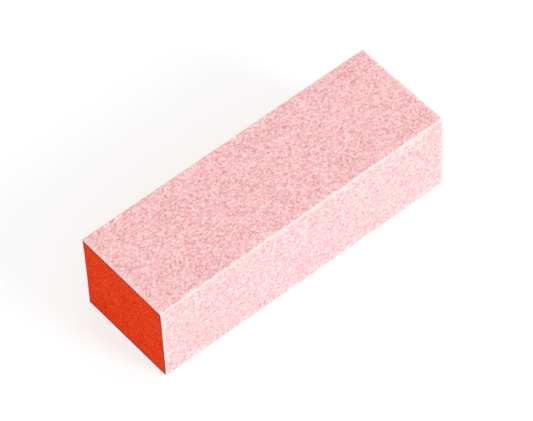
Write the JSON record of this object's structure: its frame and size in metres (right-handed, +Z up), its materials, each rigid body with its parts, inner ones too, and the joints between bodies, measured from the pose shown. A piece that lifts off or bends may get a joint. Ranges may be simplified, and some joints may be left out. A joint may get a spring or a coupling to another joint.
{
  "type": "nail buffer block",
  "caption": "Hand-held rectangular foam nail buffer, wrapped on three long faces in pink abrasive paper with one long face and both ends left as bare foam.",
  "frame": {"origin": "centre of the footprint, on the face the block rests on", "axes": "+X along the block's length, +Y towards the bare foam side and -Y towards the abrasive side, +Z up through the thickness"},
  "size_m": [0.095, 0.032, 0.0268],
  "materials": {
    "foam": "matte closed-cell foam, orange-red",
    "adhesive": "thin pressure-sensitive film",
    "paper": "uncoated pale sheet, fibrous where cut or folded",
    "grit": "pink abrasive grain in resin"
  },
  "bodies": {
    "root": {"foam_core": "foam", "adhesive_film": "adhesive", "backing_paper": "paper", "grit_coat_top": "grit", "grit_coat_side": "grit", "grit_coat_bottom": "grit"}
  },
  "joints": []
}
